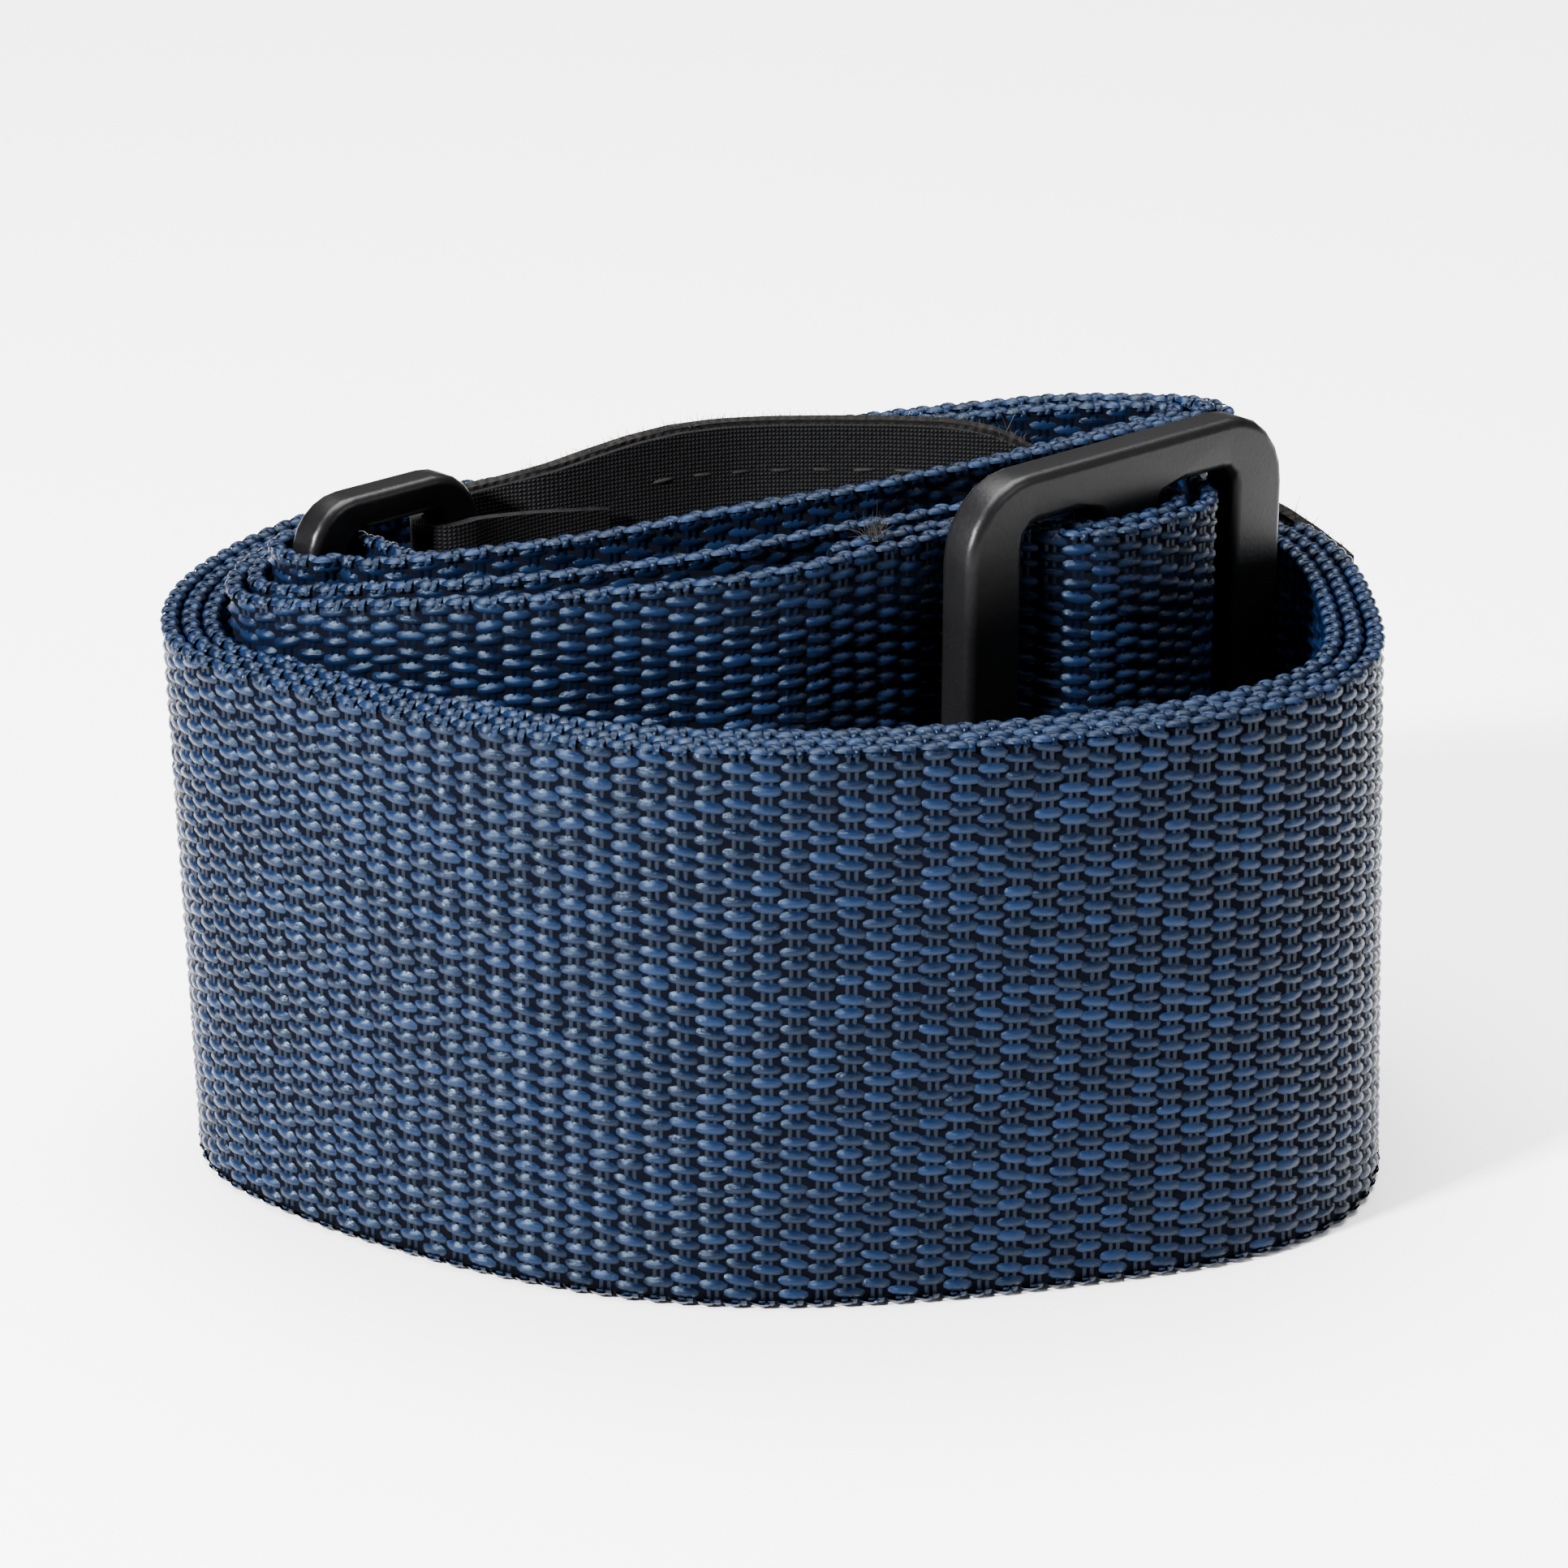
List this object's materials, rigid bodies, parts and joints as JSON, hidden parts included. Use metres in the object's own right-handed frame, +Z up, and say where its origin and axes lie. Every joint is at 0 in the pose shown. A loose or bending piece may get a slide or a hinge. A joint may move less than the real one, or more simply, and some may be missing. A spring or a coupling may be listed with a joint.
{
  "type": "guitar strap",
  "caption": "Rolled woven guitar strap with a three-bar length slider, a rectangular loop and two leather end tabs with strap-button slots.",
  "frame": {"origin": "on the floor, under the middle of the roll's bounding box", "axes": "+Z up, along the width of the webbing; +X along the roll's long way, towards the slider; +Y to the back of the roll"},
  "size_m": [0.1054, 0.0768, 0.0646],
  "materials": {
    "webbing": "glossy synthetic yarn, coarse weave",
    "hardware": "satin moulded",
    "leather": "split leather, fuzzy cut edge",
    "lining": "fine plain weave",
    "thread": "twisted sewing thread"
  },
  "bodies": {
    "roll": {"tail_tack": "thread", "webbing_adjusting_ply": "webbing", "webbing_inner_back_run": "webbing", "webbing_inner_front_run": "webbing", "webbing_inner_left_bend": "webbing", "webbing_inner_right_bend": "webbing", "webbing_leaving_bend": "webbing", "webbing_leaving_run": "webbing", "webbing_loop_turn": "webbing", "webbing_outer_back_run": "webbing", "webbing_outer_front_run": "webbing", "webbing_outer_left_bend": "webbing", "webbing_outer_right_bend": "webbing", "webbing_outer_turn_1": "webbing", "webbing_outer_turn_2": "webbing", "webbing_outer_turn_3": "webbing", "webbing_outer_turn_4": "webbing", "webbing_outer_turn_5": "webbing", "webbing_outer_turn_6": "webbing", "webbing_outer_turn_7": "webbing", "webbing_outer_turn_8": "webbing", "webbing_outer_turn_9": "webbing", "webbing_over_slider": "webbing", "webbing_standing_ply": "webbing", "webbing_tail_loop": "webbing", "webbing_turn_1_left_front": "webbing", "webbing_turn_1_right_back": "webbing", "webbing_turn_2_left_front": "webbing", "webbing_turn_2_right_back": "webbing"},
    "slider": {"slider": "hardware"},
    "loop": {"rectangular_loop": "hardware"},
    "tab": {"tab_leather": "leather", "tab_lining": "lining", "tab_stitching": "thread", "tab_flap": "lining", "tab_flap_seam": "thread"},
    "end": {"webbing_end": "webbing", "end_tab_leather": "leather", "end_tab_lining": "lining", "end_tab_stitching": "thread", "end_tab_seam": "thread"}
  },
  "joints": [
    {"name": "slider_slide", "type": "slide", "parent": "roll", "child": "slider", "axis": [0.7513, 0.66, 0], "range_m": [-0.0004, 0.0005]},
    {"name": "loop_swivel", "type": "hinge", "parent": "roll", "child": "loop", "pos_m": [-0.02804, 0.00452, 0.0312], "axis": [0, 0, 1], "range_deg": [-1, 3.5]},
    {"name": "tab_swing", "type": "hinge", "parent": "roll", "child": "tab", "pos_m": [-0.02804, 0.00452, 0.0312], "axis": [0, 0, 1], "range_deg": [0, 1.6]},
    {"name": "end_swing", "type": "hinge", "parent": "roll", "child": "end", "pos_m": [0.05158, 0.01137, 0.025], "axis": [0, 0, -1], "range_deg": [0, 35]}
  ]
}
